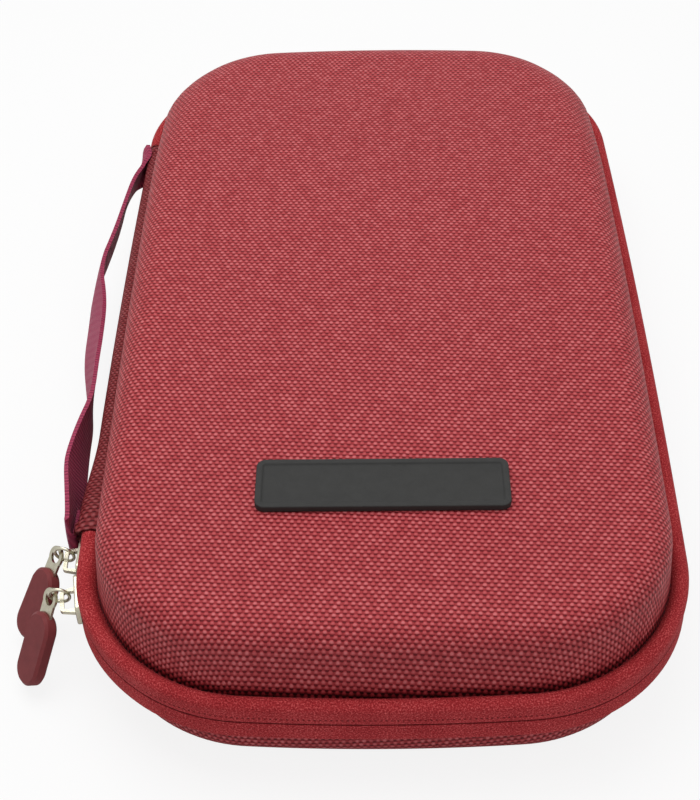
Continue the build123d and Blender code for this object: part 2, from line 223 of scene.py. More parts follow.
# Shader helpers.
def newMaterial(name):
    material = bpy.data.materials.new(name)
    material.use_nodes = True
    tree = material.node_tree
    return material, tree, tree.nodes["Principled BSDF"]


# A socket takes a plain number or another node's output.
def feed(tree, socket, value):
    if isinstance(value, (int, float)):
        socket.default_value = value
    else:
        tree.links.new(value, socket)


def calc(tree, operation, *values, clamp=False):
    node = tree.nodes.new("ShaderNodeMath")
    node.operation = operation
    node.use_clamp = clamp
    for socket, value in zip(node.inputs, values):
        feed(tree, socket, value)
    return node.outputs[0]


def times(tree, a, b, clamp=False):
    return calc(tree, "MULTIPLY", a, b, clamp=clamp)


def plus(tree, a, b, clamp=False):
    return calc(tree, "ADD", a, b, clamp=clamp)


def minus(tree, a, b, clamp=False):
    return calc(tree, "SUBTRACT", a, b, clamp=clamp)


# Colour stops along a value from 0 to 1.
def colourRamp(tree, value, stops):
    node = tree.nodes.new("ShaderNodeValToRGB")
    ramp = node.color_ramp
    while len(ramp.elements) < len(stops):
        ramp.elements.new(0.5)
    for element, (place, colour) in zip(ramp.elements, stops):
        element.position = place
        element.color = (*colour, 1)
    tree.links.new(value, node.inputs[0])
    return node.outputs[0]


def softStep(tree, value, low, high):
    node = tree.nodes.new("ShaderNodeMapRange")
    node.interpolation_type = "SMOOTHSTEP"
    node.inputs["From Min"].default_value = low
    node.inputs["From Max"].default_value = high
    tree.links.new(value, node.inputs["Value"])
    return node.outputs["Result"]


# A different value for each yarn or stitch, from its row and column number.
def eachOne(tree, column, row):
    place = tree.nodes.new("ShaderNodeCombineXYZ")
    feed(tree, place.inputs[0], column)
    feed(tree, place.inputs[1], row)
    node = tree.nodes.new("ShaderNodeTexWhiteNoise")
    node.noise_dimensions = "3D"
    tree.links.new(place.outputs[0], node.inputs["Vector"])
    return node.outputs["Value"]


# Small round marks in a line: along every pitch, at one distance across.
def dotLine(tree, u, v, pitch, across, radius):
    along = minus(tree, calc(tree, "FRACT", calc(tree, "DIVIDE", u, pitch)), 0.5)
    along = times(tree, along, pitch)
    off = minus(tree, v, across)
    squares = plus(tree, times(tree, along, along), times(tree, off, off))
    far = calc(tree, "SQRT", squares)
    return minus(tree, 1.0, softStep(tree, far, radius * 0.5, radius))


def clothPlace(tree, turn=0.0):
    uvNode = tree.nodes.new("ShaderNodeUVMap")
    uvNode.uv_map = "cloth"
    mapping = tree.nodes.new("ShaderNodeMapping")
    mapping.inputs["Rotation"].default_value = (0, 0, radians(turn))
    tree.links.new(uvNode.outputs["UV"], mapping.inputs["Vector"])
    return mapping.outputs["Vector"]


def objectPlace(tree, scale=1000.0):
    coordinates = tree.nodes.new("ShaderNodeTexCoord")
    mapping = tree.nodes.new("ShaderNodeMapping")
    mapping.inputs["Scale"].default_value = (scale, scale, scale)
    tree.links.new(coordinates.outputs["Object"], mapping.inputs["Vector"])
    return mapping.outputs["Vector"]


def splitPlace(tree, place):
    node = tree.nodes.new("ShaderNodeSeparateXYZ")
    tree.links.new(place, node.inputs[0])
    return node.outputs[0], node.outputs[1], node.outputs[2]


def noise(tree, place, scale, detail=2.0, roughness=0.5):
    node = tree.nodes.new("ShaderNodeTexNoise")
    node.inputs["Scale"].default_value = scale
    node.inputs["Detail"].default_value = detail
    node.inputs["Roughness"].default_value = roughness
    tree.links.new(place, node.inputs["Vector"])
    return node.outputs[0]


def blendColours(tree, factor, low, high):
    node = tree.nodes.new("ShaderNodeMix")
    node.data_type = "RGBA"
    tree.links.new(factor, node.inputs["Factor"])
    for socket, value in ((node.inputs["A"], low), (node.inputs["B"], high)):
        if hasattr(value, "links"):
            tree.links.new(value, socket)
        else:
            socket.default_value = (*value, 1)
    return node.outputs["Result"]


def liftNormal(tree, shader, height, distance):
    node = tree.nodes.new("ShaderNodeBump")
    node.inputs["Strength"].default_value = 1.0
    node.inputs["Distance"].default_value = distance
    tree.links.new(height, node.inputs["Height"])
    tree.links.new(node.outputs[0], shader.inputs["Normal"])


# Plain weave: oval floats across, nested half a repeat on from row to row, with
# risers between them. Gives the floats, the risers, the shade under a float and
# a number for each yarn.
def yarnFloats(tree, u, v, values):
    floats = risers = shade = lots = None

    def rounded(value, half):
        scaled = calc(tree, "DIVIDE", value, half)
        return minus(tree, 1.0, times(tree, scaled, scaled), clamp=True)

    for parity in (0.0, 0.5):
        row = plus(tree, calc(tree, "DIVIDE", v, 2 * values["rowPitch"]), parity)
        column = plus(tree, calc(tree, "DIVIDE", u, 2 * values["yarnPitch"]), parity)
        across = times(tree, minus(tree, calc(tree, "FRACT", row), 0.5), 2.0)
        along = calc(tree, "ABSOLUTE", minus(tree, calc(tree, "FRACT", column), 0.5))
        rowNumber = plus(tree, calc(tree, "FLOOR", row), parity)
        lot = eachOne(tree, calc(tree, "FLOOR", column), rowNumber)
        length, width = rounded(along, values["floatLength"]), rounded(across, values["floatWidth"])
        oval = calc(tree, "SQRT", times(tree, length, width))
        between = minus(tree, 0.5, along)
        width, tall = rounded(between, values["riseWidth"]), rounded(across, values["riseHeight"])
        rise = calc(tree, "SQRT", times(tree, width, tall))
        under = calc(tree, "ABSOLUTE", plus(tree, across, values["shadeAt"]))
        under = minus(tree, 1.0, softStep(tree, under, *values["shadeEdge"]))
        ends = minus(tree, 1.0, softStep(tree, along, *values["shadeEnds"]))
        under = times(tree, under, ends)
        lot = times(tree, lot, calc(tree, "GREATER_THAN", oval, 0.05))
        floats = oval if floats is None else calc(tree, "MAXIMUM", floats, oval)
        risers = rise if risers is None else calc(tree, "MAXIMUM", risers, rise)
        shade = under if shade is None else calc(tree, "MAXIMUM", shade, under)
        lots = lot if lots is None else calc(tree, "MAXIMUM", lots, lot)
    return floats, risers, shade, lots


# Pitches are in millimetres, turns in degrees, and sizes of floats in shares of a repeat.
shellCloth = {
    "yarnPitch": 0.84,
    "rowPitch": 1.30,
    "rowTurn": 4.0,
    "rowWander": 0.5,
    "yarnWander": 0.3,
    "floatLength": 0.45,
    "floatWidth": 0.52,
    "riseWidth": 0.18,
    "riseHeight": 0.84,
    "riseLevel": 0.58,
    "shadeAt": 0.66,
    "shadeEdge": (0.08, 0.30),
    "shadeEnds": (0.16, 0.38),
    "shadeDepth": 0.40,
    "fibre": 0.10,
    "lotTone": (0.80, 0.22),
    "cloudTone": 0.20,
    "floor": 0.15,
    # The next three set the painted shade in the groove beside the zip: the band of heights it fades out
    # over, how dark it gets, and how much harder it darkens the gaps than the floats.
    "foot": (5.2, 8.6),
    "grooveShadeTone": 0.46,
    "grooveShadePower": 2.4,
    # deep is the near black of the painted groove shade; the darkest gaps lean a little towards it too.
    "deep": (0.020, 0.001, 0.002),
    # gap is partly the weave's own dark and partly painted shade between the yarns; glint is a painted
    # highlight on the crowns of the floats.
    "gap": (0.165, 0.012, 0.017),
    "warp": (0.325, 0.030, 0.036),
    "float": (0.470, 0.078, 0.085),
    "glint": (0.600, 0.155, 0.163),
    "relief": 0.00030,
}


def ballisticNylon(name, values, brightness=1.0):
    material, tree, shader = newMaterial(name)
    place = clothPlace(tree, values["rowTurn"])
    wander = noise(tree, place, 0.22, 3.0)
    u, v, _ = splitPlace(tree, place)
    v = plus(tree, v, times(tree, wander, values["rowWander"]))
    shift = noise(tree, place, 0.5, 2.0)
    u = plus(tree, u, times(tree, shift, values["yarnWander"]))
    oval, rise, under, lot = yarnFloats(tree, u, v, values)
    height = calc(tree, "MAXIMUM", oval, times(tree, rise, values["riseLevel"]))
    fibre = noise(tree, place, 7.0, 2.0)
    height = plus(tree, height, times(tree, fibre, values["fibre"]))
    plain, spread = values["lotTone"]
    tone = times(tree, height, plus(tree, plain, times(tree, lot, spread)))
    cloud = times(tree, minus(tree, wander, 0.5), values["cloudTone"])
    tone = plus(tree, tone, cloud)
    tone = minus(tree, tone, times(tree, under, values["shadeDepth"]), clamp=True)
    tone = calc(tree, "MAXIMUM", tone, values["floor"])
    # Painted shade: the cloth is darkened where it runs down into the groove beside the zip.
    _, _, level = splitPlace(tree, objectPlace(tree))
    level = calc(tree, "ABSOLUTE", minus(tree, level, caseShape["liftHeight"]))
    lit = softStep(tree, level, *values["foot"])
    power, least = values["grooveShadePower"], values["grooveShadeTone"]
    tone = calc(tree, "POWER", tone, minus(tree, power, times(tree, lit, power - 1)))
    tone = times(tree, tone, plus(tree, least, times(tree, lit, 1 - least)))
    # The ramp paints shade into the gaps and a highlight onto the crowns of the floats.
    names = (("deep", 0.02), ("gap", 0.20), ("warp", 0.48), ("float", 0.80), ("glint", 1.0))
    stops = [(at, tuple(c * brightness for c in values[key])) for key, at in names]
    tree.links.new(colourRamp(tree, tone, stops), shader.inputs["Base Color"])
    shader.inputs["Roughness"].default_value = 0.5
    shader.inputs["Specular IOR Level"].default_value = 0.10
    shader.inputs["Sheen Weight"].default_value = 0.02
    shader.inputs["Sheen Roughness"].default_value = 0.4
    shader.inputs["Sheen Tint"].default_value = (1.0, 0.5, 0.5, 1)
    liftNormal(tree, shader, height, values["relief"])
    return material


tapeCloth = {
    "speck": 2.3,
    "stitchPitch": 1.3,
    "stitchFromEdge": 2.0,
    "stitchRadius": 0.34,
    "stitchTone": 0.8,
    "stitchSink": 1.2,
    "grain": (0.34, 0.74),
    "plainTone": 0.16,
    "cloudTone": 0.35,
    "edge": 0.22,
    "hem": (10.2, 11.6),
    "deep": (0.035, 0.002, 0.003),
    "dark": (0.240, 0.012, 0.016),
    "light": (0.430, 0.034, 0.040),
    "glint": (0.700, 0.130, 0.130),
    "relief": 0.00026,
}


# Fine brushed knit with bright specks, and a line of sewing beside the zip.
# sewing is how strongly it shows.
def knitTape(name, values, sewing=1.0):
    material, tree, shader = newMaterial(name)
    place = clothPlace(tree)
    u, v, _ = splitPlace(tree, place)
    speckle = noise(tree, place, values["speck"], 2.0, 0.75)
    cloud = noise(tree, place, 0.10, 2.0)
    grain = softStep(tree, speckle, *values["grain"])
    plain = values["plainTone"]
    tone = plus(tree, plain, times(tree, grain, 1 - plain))
    cloud = times(tree, minus(tree, cloud, 0.5), values["cloudTone"])
    tone = plus(tree, tone, cloud, clamp=True)
    dots = dotLine(tree, u, v, values["stitchPitch"], values["stitchFromEdge"], values["stitchRadius"])
    sunk = times(tree, dots, values["stitchTone"] * sewing)
    tone = times(tree, tone, minus(tree, 1.0, sunk))
    # The cut edge at the zip and the hem in the groove are in shade.
    tone = times(tree, tone, softStep(tree, v, 0.0, values["edge"]))
    tone = times(tree, tone, minus(tree, 1.0, softStep(tree, v, *values["hem"])))
    names = (("deep", 0.0), ("dark", 0.12), ("light", 0.55), ("glint", 1.0))
    stops = [(at, values[key]) for key, at in names]
    tree.links.new(colourRamp(tree, tone, stops), shader.inputs["Base Color"])
    shader.inputs["Roughness"].default_value = 0.75
    shader.inputs["Specular IOR Level"].default_value = 0.08
    shader.inputs["Sheen Weight"].default_value = 0.02
    shader.inputs["Sheen Tint"].default_value = (1.0, 0.5, 0.5, 1)
    height = minus(tree, speckle, times(tree, dots, values["stitchSink"] * sewing))
    liftNormal(tree, shader, height, values["relief"])
    return material


# Twill webbing: slanting ribs across. The side that faces the case is painted lighter than the outside,
# painted light that lifts the shade that side stands in.
def webbing(name, values):
    material, tree, shader = newMaterial(name)
    place = clothPlace(tree)
    u, v, _ = splitPlace(tree, place)
    ribAcross, ribAlong = values["ribs"]
    twill = plus(tree, calc(tree, "DIVIDE", u, ribAcross), calc(tree, "DIVIDE", v, ribAlong))
    ridge = calc(tree, "ABSOLUTE", minus(tree, calc(tree, "FRACT", twill), 0.5))
    ridge = times(tree, ridge, 2.0)
    yarn = calc(tree, "ABSOLUTE", calc(tree, "SINE", times(tree, v, pi / values["yarn"])))
    height = plus(tree, times(tree, ridge, 0.65), times(tree, yarn, 0.35))
    speck = noise(tree, place, 2.5, 2.0)
    speck = times(tree, speck, 0.35)
    tone = plus(tree, times(tree, height, 0.75), speck, clamp=True)
    outer = colourRamp(tree, tone, [(0.1, values["outerGap"]), (0.9, values["outer"])])
    inner = colourRamp(tree, tone, [(0.25, values["innerGap"]), (0.95, values["inner"])])
    side = softStep(tree, u, values["width"] - 0.2, values["width"] + 0.2)
    tree.links.new(blendColours(tree, side, outer, inner), shader.inputs["Base Color"])
    shader.inputs["Roughness"].default_value = 0.55
    shader.inputs["Specular IOR Level"].default_value = 0.14
    shader.inputs["Sheen Weight"].default_value = 0.04
    shader.inputs["Sheen Tint"].default_value = (1.0, 0.6, 0.8, 1)
    liftNormal(tree, shader, height, 0.00025)
    return material


def softKnit(name, colour, scale=1.6, relief=0.00025, sheen=0.3):
    material, tree, shader = newMaterial(name)
    place = objectPlace(tree)
    fuzz = noise(tree, place, scale, 4.0, 0.65)
    dark = tuple(c * 0.55 for c in colour)
    light = tuple(c * 1.45 for c in colour)
    tree.links.new(blendColours(tree, fuzz, dark, light), shader.inputs["Base Color"])
    shader.inputs["Roughness"].default_value = 0.9
    shader.inputs["Sheen Weight"].default_value = sheen
    liftNormal(tree, shader, fuzz, relief)
    return material


def ribbedElastic(name, colour):
    material, tree, shader = newMaterial(name)
    place = objectPlace(tree)
    x, y, _ = splitPlace(tree, place)
    rib = calc(tree, "ABSOLUTE", calc(tree, "SINE", times(tree, y, pi / 1.1)))
    rows = calc(tree, "ABSOLUTE", calc(tree, "SINE", times(tree, x, pi / 0.7)))
    height = plus(tree, times(tree, rib, 0.7), times(tree, rows, 0.3))
    dark = tuple(c * 0.4 for c in colour)
    tree.links.new(blendColours(tree, height, dark, colour), shader.inputs["Base Color"])
    shader.inputs["Roughness"].default_value = 0.75
    liftNormal(tree, shader, height, 0.0002)
    return material


def nickel(name):
    material, tree, shader = newMaterial(name)
    place = objectPlace(tree)
    cloud = noise(tree, place, 0.7, 3.0)
    tone = blendColours(tree, cloud, (0.40, 0.37, 0.27), (0.62, 0.59, 0.48))
    tree.links.new(tone, shader.inputs["Base Color"])
    shader.inputs["Metallic"].default_value = 1.0
    rough = plus(tree, 0.16, times(tree, noise(tree, place, 3.0, 3.0), 0.14))
    tree.links.new(rough, shader.inputs["Roughness"])
    liftNormal(tree, shader, noise(tree, place, 5.0, 2.0), 0.00003)
    return material


def mouldedRubber(name, colour, roughness=0.42, grain=4.0, relief=0.00003, wear=0.25):
    material, tree, shader = newMaterial(name)
    place = objectPlace(tree)
    cloud = noise(tree, place, 0.35, 4.0, 0.6)
    light = tuple(c * (1 + wear) for c in colour)
    dark = tuple(c * (1 - wear) for c in colour)
    tree.links.new(blendColours(tree, cloud, dark, light), shader.inputs["Base Color"])
    scuff = times(tree, noise(tree, place, 1.2, 3.0), 0.14)
    rough = plus(tree, roughness - 0.06, scuff)
    tree.links.new(rough, shader.inputs["Roughness"])
    shader.inputs["Specular IOR Level"].default_value = 0.14
    liftNormal(tree, shader, noise(tree, place, grain, 3.0, 0.6), relief)
    return material


def coilNylon(name, colour):
    material, tree, shader = newMaterial(name)
    place = objectPlace(tree)
    cloud = noise(tree, place, 1.5, 2.0)
    dark = tuple(c * 0.6 for c in colour)
    tree.links.new(blendColours(tree, cloud, dark, colour), shader.inputs["Base Color"])
    shader.inputs["Roughness"].default_value = 0.35
    liftNormal(tree, shader, cloud, 0.00004)
    return material


strapCloth = {
    "width": 13.0,
    "ribs": (3.9, 1.2),
    "yarn": 0.9,
    "outer": (0.430, 0.045, 0.105),
    "outerGap": (0.170, 0.012, 0.050),
    # The inner colours are painted lighter to lift the shade on the side that faces the case.
    "inner": (0.520, 0.085, 0.160),
    "innerGap": (0.130, 0.010, 0.036),
}


# The spine is the same cloth, closer woven and darker.
spineWeave = {
    **shellCloth,
    "yarnPitch": 0.68,
    "rowPitch": 1.04,
    "rowTurn": 0.0,
    # The painted groove shade shrinks to a hairline along the parting.
    "foot": (0.0, 0.1),
}

finishes = {
    "shell": ballisticNylon("shellWeave", shellCloth),
    "baseShell": ballisticNylon("baseWeave", shellCloth, 0.96),
    "spine": ballisticNylon("spineWeave", spineWeave, 0.54),
    "tape": knitTape("tapeKnit", tapeCloth),
    "lowerTape": knitTape("lowerTapeKnit", tapeCloth, 0.25),
    "strap": webbing("strapWebbing", strapCloth),
    "lining": softKnit("liningKnit", (0.05, 0.05, 0.055)),
    "binding": softKnit("edgeBinding", (0.04, 0.04, 0.045), 3.0, 0.00015, 0.15),
    "elastic": ribbedElastic("elasticWeb", (0.055, 0.055, 0.06)),
    "net": softKnit("pocketNet", (0.025, 0.025, 0.028), 5.0, 0.00005, 0.1),
    "nickel": nickel("warmNickel"),
    "pull": mouldedRubber("pullRubber", (0.185, 0.036, 0.039), 0.50),
    "badge": mouldedRubber("badgeRubber", (0.036, 0.036, 0.035), 0.62, 2.5, 0.00006, 0.2),
    "coil": coilNylon("coilNylon", (0.30, 0.035, 0.045)),
}


def dress(piece, finish):
    piece.data.materials.clear()
    piece.data.materials.append(finishes[finish])


print("finishes made:", len(finishes))

# Moulded shells.
shellForm = {
    "groove": 4.6,
    "foot": 4.8,
    "lipMiddle": (2.0, 4.3),
    "lipRadius": 1.1,
    "skin": 4.3,
    "innerRadius": 8.7,
    "draft": 5.0,
    "stationStep": 2.6,
    "wallRings": 4,
    "topRings": 12,
    "nearRange": (-118.0, -40.0),
    "farRange": (55.0, 125.0),
    "pulledWall": 0.33,
    "pulledEdge": 0.22,
}


def easeStep(value, low, high):
    t = min(1.0, max(0.0, (value - low) / (high - low)))
    return t * t * (3 - 2 * t)


# The rolled edge is tight at the near end and softer towards the far end.
def edgeRadiusAt(form, y):
    near, side, far = form["edgeRadii"]
    toSide = easeStep(y, *shellForm["nearRange"])
    toFar = easeStep(y, *shellForm["farRange"])
    return near + (side - near) * toSide + (far - side) * toFar


def shellChain(height, radius, deepness=0.0, edgeSteps=12):
    draft = radians(shellForm["draft"])
    groove = shellForm["groove"] + deepness / cos(draft)
    rim = shellForm["foot"]
    top = height - deepness
    wallTop = top - radius * (1 - sin(draft))
    count = shellForm["wallRings"]
    levels = [rim + (wallTop - rim) * i / count for i in range(count + 1)]
    wall = [(groove + (z - rim) * tan(draft), z) for z in levels]
    middle = (wall[-1][0] + radius * cos(draft), top - radius)
    edge = arcPoints(middle, radius, pi - draft, pi / 2, edgeSteps)[1:]
    return wall + edge


# How far the cloth was pulled in moulding: short over the edge, long down the wall.
def clothLengths(chain):
    lengths = [0.0]
    for a, b in zip(chain, chain[1:]):
        slope = atan2(abs(b[1] - a[1]), abs(b[0] - a[0]))
        pulled = 1 - shellForm["pulledWall"] * sin(slope) ** 4
        pulled += shellForm["pulledEdge"] * sin(2 * slope) ** 2
        lengths.append(lengths[-1] + hypot(b[0] - a[0], b[1] - a[1]) * pulled)
    return lengths


# The rows lie a little closer towards both ends.
def clothRow(y):
    return y - 0.0004 * max(0.0, -30 - y) ** 2 + 0.00015 * max(0.0, y - 40) ** 2


def makeShell(form):
    height, crown = form["height"], form["crown"]
    inner = shellChain(height, shellForm["innerRadius"], shellForm["skin"], 6)
    middle, roll = shellForm["lipMiddle"], shellForm["lipRadius"]
    lip = [(middle[0] - roll, shellForm["foot"] - 0.1)] + arcPoints(middle, roll, 0.8 * pi, 0.3 * pi, 4)
    lip.append((4.2, shellForm["foot"] - 0.05))

    def chainAt(distance):
        place, _ = station(distance)
        return inner[::-1] + lip + shellChain(height, edgeRadiusAt(form, place.y))

    def uvOf(distance, index, place, outward):
        chain = chainAt(distance)
        lengths = clothLengths(chain)
        cloth = place - outward * (chain[-1][0] - (lengths[-1] - lengths[index]))
        return cloth.x, clothRow(cloth.y)

    bm = bmesh.new()
    distances = walk(0, roundLength, shellForm["stationStep"])
    carryChain(bm, chainAt, distances, uvOf)
    writeCloth(bm)
    closeUp(bm)
    uvLayer = bm.loops.layers.uv["cloth"]
    rims = {True: [], False: []}
    for edge in [e for e in bm.edges if e.is_boundary]:
        rims[edge.verts[0].co.z > height - 1].append(edge)
    for isOuter, edges in rims.items():
        count = shellForm["topRings"] if isOuter else 2
        level = edges[0].verts[0].co.z
        for step in range(1, count + 1):
            made = bmesh.ops.extrude_edge_only(bm, edges=edges)["geom"]
            newSet = {g for g in made if isinstance(g, bmesh.types.BMVert)}
            edges = [g for g in made if isinstance(g, bmesh.types.BMEdge) and set(g.verts) <= newSet]
            keep = 1 - step / count
            before = 1 - (step - 1) / count
            for v in newSet:
                v.co.x *= keep / before
                v.co.y *= keep / before
                v.co.z = level + (crown * (1 - keep**2) ** 2 if isOuter else 0)
            for face in [g for g in made if isinstance(g, bmesh.types.BMFace)]:
                for loop in face.loops:
                    loop[uvLayer].uv = (loop.vert.co.x, clothRow(loop.vert.co.y))
    closeUp(bm)
    return bm


# Edge radii are at the near end, along the sides and at the far end.
lidForm = {"height": 24.6, "crown": 0.6, "edgeRadii": (6.8, 9.0, 18.0)}
baseForm = {"height": 24.0, "crown": 0.0, "edgeRadii": (9.0, 11.0, 14.0)}

lidShell = toFrame(makeShell(lidForm), "lidShellCloth", angle=50)
enterPiece(lidShell, "shell", "lid_shell", "lid")
baseShell = toFrame(mirrorDown(makeShell(baseForm)), "baseShellCloth", angle=50)
enterPiece(baseShell, "baseShell", "base_shell", "base")
print("shells made")

# Zip tapes: a flat band beside the split, rolled over into the groove.
tapeForm = {
    "rollRadius": 2.05,
    "rollMiddle": 4.65,
    "thickness": 0.7,
    "splitGap": 0.15,
    "splitDepth": 0.35,
    "sliderDepth": 1.2,
    "step": 2.2,
    "nearStep": 0.8,
    "nearLength": 12.0,
    "parting": 1.75,
    "partingReach": 8.2,
    "partingSlope": 2.4,
    "bulge": 0.7,
    "bulgeRange": (4.0, 34.0),
    "toRearSlider": 6.7,
    "betweenSliders": 11.8,
}


def tapeChain(lift=0.0, bulge=0.0):
    plain = tapeForm["splitDepth"]
    deep = plain + (tapeForm["sliderDepth"] - plain) * lift / tapeForm["parting"]
    radius, middle, low = tapeForm["rollRadius"], tapeForm["rollMiddle"], tapeForm["splitGap"]
    outer, inner = [], []
    for shift, chain in ((0.0, outer), (tapeForm["thickness"], inner)):
        for i in range(7):
            t = 1 - i / 6
            height = middle + (low - middle) * t
            chain.append((shift + deep * t**3, height + lift * t**2))
        chain += arcPoints((radius, middle), radius - shift, pi, 0.27 * pi, 9)[1:]
    outer += [(4.05, 5.35), (4.45, 4.7)]
    inner += [(3.45, 5.0), (3.9, 4.62)]
    return [(inset - bulge * max(0.0, 1 - inset / 4), height) for inset, height in outer + inner[::-1]]


# The zip starts and ends beside the spine; the sliders are parked at its near end.
zipStart = leftSide(caseShape["spineNear"] - caseShape["zipGap"])
zipEnd = leftSide(caseShape["spineFar"] + caseShape["zipGap"]) + roundLength
rearMiddle = leftSide(caseShape["spineNear"] - caseShape["zipGap"] - tapeForm["toRearSlider"])
frontMiddle = rearMiddle + tapeForm["betweenSliders"]


# The tapes part round each slider.
def partingLift(distance):
    off = min(abs(distance - middle) for middle in (rearMiddle, frontMiddle))
    share = (tapeForm["partingReach"] - off) / tapeForm["partingSlope"]
    return tapeForm["parting"] * max(0.0, min(1.0, share))


# The roll is fuller beside the sliders.
def tapeBulge(distance):
    first, last = tapeForm["bulgeRange"]
    return tapeForm["bulge"] * (1 - easeStep(distance, frontMiddle + first, frontMiddle + last))


def makeTape():
    bm = bmesh.new()
    lengths = chainLengths(tapeChain())

    def chainAt(distance):
        return tapeChain(partingLift(distance), tapeBulge(distance))

    def uvOf(distance, index, place, outward):
        return distance, lengths[index]

    middle = frontMiddle + tapeForm["nearLength"]
    distances = walk(zipStart, middle, tapeForm["nearStep"]) + walk(middle, zipEnd, tapeForm["step"])[1:]
    carryChain(bm, chainAt, distances, uvOf, closedChain=True, capEnds=True)
    writeCloth(bm)
    bmesh.ops.recalc_face_normals(bm, faces=bm.faces)
    return bm


lidTape = toFrame(makeTape(), "lidTapeRoll", angle=60)
enterPiece(lidTape, "tape", "lid_zip_tape", "lid")
baseTape = toFrame(mirrorDown(makeTape()), "baseTapeRoll", angle=60)
enterPiece(baseTape, "lowerTape", "base_zip_tape", "base")
print("tapes made")

# Cloth spine: it stands off a little at the near end, where the strap is sewn on.
spineForm = {
    "radius": 2.7,
    "middle": 4.1,
    "bulge": 0.5,
    "thickness": 0.8,
    "puff": 2.2,
    "puffLength": 34.0,
    "hemProud": 0.5,
    "hemLength": 2.0,
    "hemFade": 0.8,
    "slant": 2.6,
    "slantLength": 5.0,
    "slantHeight": (4.3, 5.8),
    "step": 1.7,
    "endStep": 0.5,
    "endLength": 4.0,
}


def spineChain(proud, puff):
    radius, middle = spineForm["radius"], spineForm["middle"]
    chain = []
    for shift, part in ((-proud, 0), (spineForm["thickness"], 1)):
        upper = arcPoints((radius, middle), radius - shift, 0.28 * pi, pi, 10)
        bow = []
        for i in range(1, 6):
            height = middle * (1 - i / 3)
            bow.append((shift - spineForm["bulge"] * (1 - (height / middle) ** 2), height))
        lower = [(a, -b) for a, b in upper[::-1]]
        foot = (4.5 - 0.5 * part, 4.75 - 0.1 * part)
        side = [foot] + upper + bow + lower + [(foot[0], -foot[1])]
        # The puff pushes the outside of the tube out and leaves the hems in the groove.
        side = [(a - puff * max(0.0, 1 - a / 4.0), b) for a, b in side]
        chain += side if part == 0 else side[::-1]
    return chain


def makeSpine():
    bm = bmesh.new()
    first, last = leftSide(caseShape["spineFar"]), leftSide(caseShape["spineNear"])
    lengths = chainLengths(spineChain(0, 0))

    def chainAt(distance):
        off = min(distance - first, last - distance)
        hem = spineForm["hemLength"]
        proud = spineForm["hemProud"] * (1 - easeStep(off, hem, hem + spineForm["hemFade"]))
        proud *= easeStep(off, -0.4, 0.7)
        puff = spineForm["puff"] * easeStep(distance, last - spineForm["puffLength"], last - 3)
        return spineChain(proud, puff)

    def uvOf(distance, index, place, outward):
        return lengths[index], distance

    end, fine = spineForm["endLength"], spineForm["endStep"]
    distances = walk(first, first + end, fine)
    distances += walk(first + end, last - end, spineForm["step"])[1:]
    distances += walk(last - end, last, fine)[1:]
    carryChain(bm, chainAt, distances, uvOf, closedChain=True, capEnds=True)
    # The near hem slants: its top lies further over the zip.
    near = -caseShape["spineNear"]
    for v in bm.verts:
        share = easeStep(-v.co.y, near - spineForm["slantLength"], near)
        v.co.y -= spineForm["slant"] * share * easeStep(v.co.z, *spineForm["slantHeight"])
    writeCloth(bm)
    bmesh.ops.recalc_face_normals(bm, faces=bm.faces)
    return bm


spineCloth = toFrame(makeSpine(), "spineCloth", angle=60)
enterPiece(spineCloth, "spine", "spine_cover", "hinge")
print("spine made")

# Carrying strap: a leaning ribbon, sewn to the spine at both ends.
strapForm = {
    "width": 13.0,
    "thickness": 1.2,
    "crown": 0.2,
    # Along the case, out from it, the lean in degrees and the height.
    "line": [
        (89.6, -78.8, 0, 1.5), (83.0, -79.2, 24, 1.0), (75.0, -82.6, 21, 0.0), (64.0, -84.0, 16, -1.7),
        (50.0, -86.2, 16, -3.7), (34.0, -89.3, 15, -5.2), (16.0, -86.7, 28, -3.9), (-2.0, -85.6, 29, -2.0),
        (-18.0, -83.7, 18, 0.0), (-32.0, -81.8, 8, 1.2), (-44.0, -82.9, -4, 1.4), (-56.0, -83.1, -14, 2.0),
        (-61.0, -82.8, -14, 2.0), (-67.0, -82.5, -8, 2.0), (-73.0, -82.1, -3, 1.8), (-78.6, -81.9, 2, 1.6),
        # The end folds back under itself and is sewn to the spine.
        (-80.0, -81.9, 1, 1.6), (-80.0, -80.8, -1, 1.6), (-78.6, -80.6, -2, 1.6), (-71.0, -80.5, -2, 1.6),
    ],
    "across": 8,
    "stepsEach": 8,
    "softEdge": 0.3,
    # How far the far end bends back, how long it stays bent and where it is flat again.
    "hug": (1.7, 3.0, 9.0),
    # Past this line along the case, the fold starts and ends at these places out from it.
    "foldFrom": -65.0,
    "fold": (-81.7, -80.9),
}


# Points along a smooth line through its controls.
def drawnLine(name, controls):
    line = bpy.data.curves.new(name, "CURVE")
    line.dimensions = "3D"
    spline = line.splines.new("NURBS")
    spline.points.add(len(controls) - 1)
    for point, place in zip(spline.points, controls):
        point.co = (*place, 1)
    spline.order_u = 3
    spline.use_endpoint_u = True
    spline.resolution_u = strapForm["stepsEach"]
    holder = bpy.data.objects.new(name, line)
    drawn = bpy.data.meshes.new_from_object(holder)
    points = [v.co.copy() for v in drawn.vertices]
    bpy.data.objects.remove(holder)
    bpy.data.meshes.remove(drawn)
    bpy.data.curves.remove(line)
    return points


